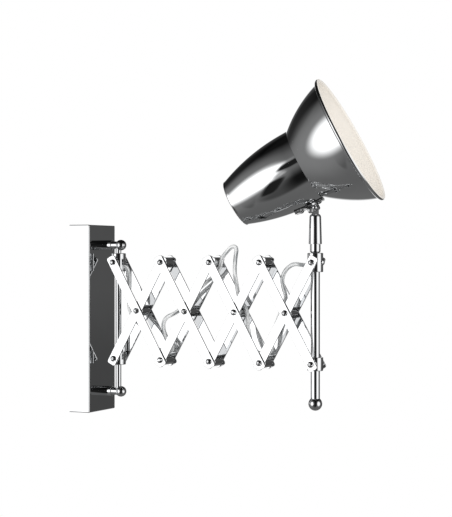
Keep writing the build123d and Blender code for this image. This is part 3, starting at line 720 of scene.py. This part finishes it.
# lamp head: spun can and bowl on one tilted axis, enamelled inside
head = {
    "tilt": 28.0, "yaw": 9.0, "pivot": (344.0, 0.0, 147.5), "fromRear": 91.4, "below": 55.2, "sheet": 1.0,
    "rear": 31.6, "front": 50.0, "length": 107.0, "straight": 11.0, "rearRound": 2.0, "nipple": 4.93,
    "rearRings": (15, 26), "edge": 0.3, "bowlMiddle": (131.0, 67.6), "bowlEdge": (170.4, 84.4), "bead": 2.6,
    "neck": 3.5, "lining": 0.25, "sunk": 0.05, "gap": 0.2, "liningHole": 20.5,
}
tilt, yaw = math.radians(head["tilt"]), math.radians(head["yaw"])
along = Vector((math.cos(tilt) * math.cos(yaw), math.cos(tilt) * math.sin(yaw), math.sin(tilt)))
upward = Vector((-math.sin(tilt) * math.cos(yaw), -math.sin(tilt) * math.sin(yaw), math.cos(tilt)))
sideways = along.cross(upward)
rearMiddle = Vector(head["pivot"]) + upward * head["below"] - along * head["fromRear"]
shoulder = head["length"] - head["straight"]
canDrop = head["front"] - head["rear"]
canArc = (shoulder ** 2 + canDrop ** 2) / (2 * canDrop)


def headPoint(s, rise):
    return rearMiddle + along * s + upward * rise


def canRadius(s, inset=0.0):
    if s >= shoulder:
        return head["front"] - inset
    return head["front"] - canArc + math.sqrt((canArc - inset) ** 2 - (shoulder - s) ** 2)


def canSide(start, stop, inset, count=48):
    places = [start + (stop - start) * i / count for i in range(count + 1)]
    return [(s, canRadius(s, inset)) for s in places]


def spunPiece(name, profile, material, steps, *replaced, slot="chrome"):
    piece = turnedPiece(name, profile, material, rearMiddle, along, steps=steps, closed=True)
    return fit(piece, "head", slot, *replaced)


def makeCan():
    sheet, corner, edge, gap = head["sheet"], head["rearRound"], head["edge"], head["gap"]
    front, end, skin, sunk, hole = head["front"], head["length"], head["lining"], head["sunk"], head["liningHole"]
    profile = [(0, head["nipple"])] + [(0, radius) for radius in head["rearRings"]]
    profile += arcRound((corner, canRadius(corner) - corner + gap), corner, 180, 100, 8)
    profile += canSide(corner + 2 * gap, shoulder, 0)
    profile += [(end - edge, front), (end, front - edge), (end, front - sheet)]
    profile += canSide(shoulder, sheet, sheet) + [(sheet, head["nipple"])]
    spunPiece("lampCan", profile, chrome, 192, "lamp_can")
    lip = end - head["neck"] - gap
    lining = [(sheet - sunk, hole)] + canSide(sheet + skin, lip, sheet - sunk)
    lining += canSide(lip, sheet + skin + gap, sheet + skin) + [(sheet + skin, hole)]
    spunPiece("canLining", lining, enamel, 128, slot="white_enamel")


def makeBowl():
    sheet, edge, middle, bead = head["sheet"], head["bowlEdge"], head["bowlMiddle"], head["bead"]
    length, skin, sunk = head["length"], head["lining"], head["sunk"]
    mouth, neckEnd = length + sheet, length - head["neck"]
    neckOuter = head["front"] - sheet - 0.03  # a sliding fit in the can
    neckInner = neckOuter - sheet
    beadMiddle = (edge[0] + 0.75 * bead, edge[1] + bead / 2)
    outside = arcThrough((length, head["front"] + sheet / 2), middle, edge, 56)
    innerEnd = (edge[0] + sheet / 2, edge[1] - sheet)
    innerMiddle = (middle[0] + sheet / math.sqrt(2), middle[1] - sheet / math.sqrt(2))
    inside = arcThrough(innerEnd, innerMiddle, (mouth, neckOuter), 56)
    profile = [(length, neckOuter)] + outside[:-1] + arcRound(beadMiddle, bead, 195, -118, 30) + inside
    profile += [(mouth, neckInner), (neckEnd, neckInner), (neckEnd, neckOuter)]
    spunPiece("bowl", profile, chrome, 224, "reflector_bowl")
    lining = arcRound(beadMiddle, bead - sunk, 45, -100, 20) + [(s + 0.02, r) for s, r in inside[1:-1]]
    lining += [(mouth, neckInner + sunk), (neckEnd, neckInner + sunk)]
    lining += [(neckEnd, neckInner - skin), (mouth + skin, neckInner - skin)]
    lining += [(s + skin * 0.75, r - skin * 0.75) for s, r in reversed(inside[2:-3])]
    lining += arcRound(beadMiddle, bead + 0.1, -100, 45, 20)
    spunPiece("bowlLining", lining, enamel, 160, slot="white_enamel")


# swivel sleeve: a slim turned cone with a domed top and a flat tongue for the tilt screw
sleeve = {
    "foot": 100.2, "base": 8.6, "shoulder": 7.6, "rise": 34.3, "top": 39.0, "edge": 0.6, "bore": 5.08,
    "boreTop": 131.2, "tongue": 4.3, "thick": 5.0, "tongueFoot": -13.0, "tongueEdge": 0.7, "screwHole": 1.58,
    "holeFrom": 6.0,
}


def makeSleeve():
    rise, edge, tongue, foot = sleeve["rise"], sleeve["edge"], sleeve["tongue"], sleeve["foot"]
    lean = math.atan2(sleeve["base"] - sleeve["shoulder"], rise)
    tall, wide = sleeve["top"] - rise, sleeve["shoulder"] - tongue
    dome = [(rise + tall * high, tongue + wide * broad) for broad, high in arcRound((0, 0), 1, 0, 90, 12)]
    rim = arcRound((edge, sleeve["base"] - edge - edge * math.tan(lean)), edge, 180, 90, 5)
    profile = [(0, 0)] + rim + dome + [(sleeve["top"], 0)]
    piece = turnedPiece("swivelSleeve", profile, chrome, (poleX, 0, foot), steps=96)
    outline = arcRound((0, 0), tongue, 0, 180, 18) + [(-tongue, sleeve["tongueFoot"]), (tongue, sleeve["tongueFoot"])]
    pivot, across, half = Vector(head["pivot"]), sideways.cross(Vector(up)), sleeve["thick"] / 2
    bm = bmesh.new()
    sides = []
    for side in (-half, half):
        spots = [pivot + across * x + Vector((0, 0, z)) + sideways * side for x, z in outline]
        sides.append([bm.verts.new(spot * mm) for spot in spots])
    faces = [bm.faces.new(side) for side in sides]
    joinRings(bm, *sides)
    edges = [line for face in faces for line in face.edges]
    bmesh.ops.bevel(bm, geom=edges, offset=sleeve["tongueEdge"] * mm, segments=4, profile=0.5, affect="EDGES")
    cutWith(piece, addPiece("tongue", bm, chrome), "UNION")
    drill(piece, (poleX, 0, foot - 1), up, sleeve["bore"], sleeve["boreTop"] - foot + 1)
    drill(piece, pivot - sideways * sleeve["holeFrom"], sideways, sleeve["screwHole"], 2 * sleeve["holeFrom"])
    fit(piece, "swivel", "chrome", "head_post")


# small dome-head screws of the knuckle: two up into the can, one across the ears
strapScrewForm = {
    "head": 3.1, "height": 2.2, "shank": 1.5, "grip": 5.6, "slot": 0.8, "fromRear": (73.1, 99.4), "rise": -51.8,
}
tiltScrewForm = {**strapScrewForm, "grip": 12.6, "ear": 5.0}


def makeKnuckleScrews():
    strapScrew = screwPattern("strapScrewPattern", strapScrewForm, chrome)
    places = [(headPoint(s, strapScrewForm["rise"]), -upward, along) for s in strapScrewForm["fromRear"]]
    fit(setScrews("strapScrews", strapScrew, places, chrome, 41), "head", "chrome", "bracket_screws")
    tiltScrew = screwPattern("tiltScrewPattern", tiltScrewForm, chrome)
    places = [(Vector(head["pivot"]) + sideways * tiltScrewForm["ear"], sideways, along)]
    fit(setScrews("tiltScrew", tiltScrew, places, chrome, 43), "head", "chrome", "tilt_screw")
    removePatterns(strapScrew, tiltScrew)


# lampholder: a glazed porcelain body with a groove round it and a rolled brass screw shell
holder = {
    "radius": 19.5, "back": 1.0, "backEdge": 0.6, "groove": 14.0, "grooveRadius": 1.6, "taper": 30.0, "front": 46.0,
    "frontEdge": 2.0, "mouthEdge": 1.0, "floor": 14.0, "bore": 13.5, "wire": 2.0, "nipple": 4.9, "nippleEnd": -3.7,
    "shell": 13.05, "shellSheet": 0.35, "shellEnd": 40.0, "pitch": 3.63, "thread": 0.28, "contactHole": 6.5,
}


def makeLampholder():
    r, back, front, edge = holder["radius"], holder["back"], holder["front"], holder["frontEdge"]
    small, lip, groove, taper = holder["backEdge"], holder["mouthEdge"], holder["groove"], holder["taper"]
    end, nipple = holder["nippleEnd"], holder["nipple"]
    profile = [(end, holder["wire"]), (end, nipple), (back, nipple)]
    profile += arcRound((back + small, r - small), small, 180, 90, 4) + [(groove - 2, r)]
    profile += arcRound((groove, r), holder["grooveRadius"], 180, 360, 12) + [(groove + 2, r)]
    profile += [(taper, r - 0.4), (taper + 1, r - 1.4)] + arcRound((front - edge, r - 1.4 - edge), edge, 90, 0, 8)
    profile += arcRound((front - lip, holder["bore"] + lip), lip, 0, -90, 4)
    profile += [(holder["floor"], holder["bore"]), (holder["floor"], holder["wire"])]
    spunPiece("lampholderBody", profile, porcelain, 128, "lampholder", slot="porcelain")


def makeScrewShell():
    floor, sheet = holder["floor"], holder["shellSheet"]
    stand = along.to_track_quat("Z", "Y").to_matrix().to_4x4()
    around, rows = 96, 130
    turns = [fullTurn * k / around for k in range(around)]
    bm = bmesh.new()

    def addRing(s, radiusAt):
        spots = [Vector((radiusAt(t) * math.cos(t), radiusAt(t) * math.sin(t), s)) for t in turns]
        return [bm.verts.new(stand @ spot * mm + rearMiddle * mm) for spot in spots]

    def threadRing(row, thick):
        s = floor + (holder["shellEnd"] - floor) * row / rows
        wave = fullTurn * s / holder["pitch"]
        return addRing(s, lambda t: holder["shell"] - holder["thread"] * (1 - math.cos(wave - t)) + thick)

    outer, inner = ([threadRing(row, thick) for row in range(rows + 1)] for thick in (sheet, 0.0))
    hole = [addRing(s, lambda t: holder["contactHole"]) for s in (floor, floor + sheet)]
    pairs = [pair for rings in (outer, inner) for pair in zip(rings, rings[1:])]
    pairs += [(outer[-1], inner[-1]), (outer[0], hole[0]), (hole[0], hole[1]), (hole[1], inner[0])]
    for a, b in pairs:
        joinRings(bm, a, b)
    fit(addPiece("screwShell", bm, brass, sharp=50), "head", "brass", "socket_shell")


makeCan()
makeBowl()
makeSleeve()
makeKnuckleScrews()
makeLampholder()
makeScrewShell()
print("lamp head spun")


# cord: one clear skin in five stretches, two tinned wires twisted inside it
cord = {
    "radius": 2.7, "wire": 0.95, "offset": 1.05, "pitch": 38.0, "paintedStreakStart": 130.0, "uvAround": 6,
    "skinSteps": 24, "wireSteps": 10, "lineSteps": 14,
}
cordRoutes = [
    {"bodies": ("wall_swing", "down_1"), "from": (66, 0, 70), "to": (80, 0, 30), "points": [
        (64.8, 0, 70), (71.2, 0, 70), (73.5, -2, 47), (77, -8, 30), (77.8, -9, 6.6), (103, -9, -16),
        (114, -8, -36.2), (120.4, 0, -43.6), (129.6, 0, -43.6)]},
    {"bodies": ("down_1", "up_2"), "from": (129.6, 0, -44), "to": (137.5, 0, -34), "points": [
        (129.6, 0, -43.6), (137.4, 0, -44.2), (138.6, 0, -34.8), (130.2, 0, -27), (123.5, 0, -11), (127.5, 0, 2),
        (143, 0, 8), (154.7, 0, 17.2), (168, 0, 33), (187, 0, 48.5), (205.4, 0, 62.5), (209.5, 0, 71.5)]},
    {"bodies": ("up_2", "down_3"), "from": (208.8, 0, 70.5), "to": (226, 0, 71), "points": [
        (209.5, 0, 71.5), (210.8, 0, 80.6), (216.8, 0, 89), (226.8, 0, 98.6), (233.6, 0, 95.6), (231, 0, 82),
        (229.8, 0, 63), (233, 0, 46.5), (235.8, 0, 30), (248.4, 0, 14.3), (248.9, 0, -4), (252, 0, -25),
        (261.1, 0, -43.6), (272, 0, -43.6)]},
    {"bodies": ("down_3", "up_4"), "from": (272, 0, -44), "to": (282, 0, -34), "points": [
        (272, 0, -43.6), (282.9, 0, -43.6), (284, 0, -24), (288.8, 0, -5.4), (294.8, 0, 8.3)]},
    {"bodies": ("up_4", "pole"), "from": (306, 0, 70), "to": (330, 0, 70), "points": [
        (294.8, 0, 8.3), (300.8, 0, 22), (303.6, 0, 32), (299.3, 0, 43.5), (297.4, 0, 56), (303, 0, 68),
        (314.5, 0, 75.3), (326, 0, 73), (335.2, 0, 73)]},
]


def cordLine(points):
    # the route's own smooth line, read back as points
    curve = bpy.data.curves.new("cordLine", "CURVE")
    curve.dimensions = "3D"
    curve.resolution_u = cord["lineSteps"]
    spline = curve.splines.new("NURBS")
    spline.points.add(len(points) - 1)
    for spot, point in zip(spline.points, points):
        spot.co = (*(Vector(point) * mm), 1.0)
    spline.order_u = 3
    spline.use_endpoint_u = True
    carrier = bpy.data.objects.new("cordLine", curve)
    scene.collection.objects.link(carrier)
    bpy.context.view_layer.update()
    mesh = bpy.data.meshes.new_from_object(carrier.evaluated_get(bpy.context.evaluated_depsgraph_get()))
    line = [v.co.copy() for v in mesh.vertices]
    bpy.data.objects.remove(carrier)
    return line


def lineFrames(line):
    # a side direction carried along the line without twisting
    last = len(line) - 1
    ways = [(line[min(i + 1, last)] - line[max(i - 1, 0)]).normalized() for i in range(len(line))]
    side, sides = Vector(far), []
    for way in ways:
        side = (side - way * side.dot(way)).normalized()
        sides.append(side.copy())
    return ways, sides


def tubeAlong(bm, line, radius, steps, turnStart=0.0, wind=0.0, offset=0.0, runStart=0.0):
    # wind and offset lay the tube round the line as a twisted strand
    ways, sides = lineFrames(line)
    uv = bm.loops.layers.uv.get("alongWire") or bm.loops.layers.uv.new("alongWire")
    run, rings, runs = 0.0, [], []
    for i, spot in enumerate(line):
        run += (spot - line[i - 1]).length if i else 0.0
        across = sides[i].cross(ways[i])
        turn = turnStart + wind * run
        centre = spot + (sides[i] * math.cos(turn) + across * math.sin(turn)) * offset
        angles = [fullTurn * k / steps for k in range(steps)]
        spots = [centre + (sides[i] * math.cos(a) + across * math.sin(a)) * radius for a in angles]
        rings.append([bm.verts.new(place) for place in spots])
        runs.append(run)
    for i, (a, b) in enumerate(zip(rings, rings[1:])):
        for k, face in enumerate(joinRings(bm, a, b)):
            spread = [(runs[i], k), (runs[i], k + 1), (runs[i + 1], k + 1), (runs[i + 1], k)]
            for loop, (u, v) in zip(face.loops, spread):
                loop[uv].uv = ((runStart + u) / mm, v / steps * cord["uvAround"])
    bm.faces.new(rings[0])
    bm.faces.new(rings[-1])
    return run


wireTurn, laid = 0.0, cord["paintedStreakStart"] * mm
wind = fullTurn / (cord["pitch"] * mm)
for number, route in enumerate(cordRoutes, 1):
    line = cordLine(route["points"])
    skin, wires = bmesh.new(), bmesh.new()
    run = tubeAlong(skin, line, cord["radius"] * mm, cord["skinSteps"], runStart=laid)
    for half in (0.0, math.pi):
        tubeAlong(wires, line, cord["wire"] * mm, cord["wireSteps"], wireTurn + half, wind, cord["offset"] * mm)
    wireTurn += wind * run
    laid += run  # the painted shade streaks run on through the joins
    sleevePiece = addPiece(f"cordSleeve{number}", skin, clearPvc, sharp=60)
    wirePiece = addPiece(f"cordWires{number}", wires, tinnedWire, sharp=60)
    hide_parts(f"cord_{number}")
    for piece in (sleevePiece, wirePiece):
        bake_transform(piece)
    print(f"cord stretch {number}: {run / mm:.1f} mm")
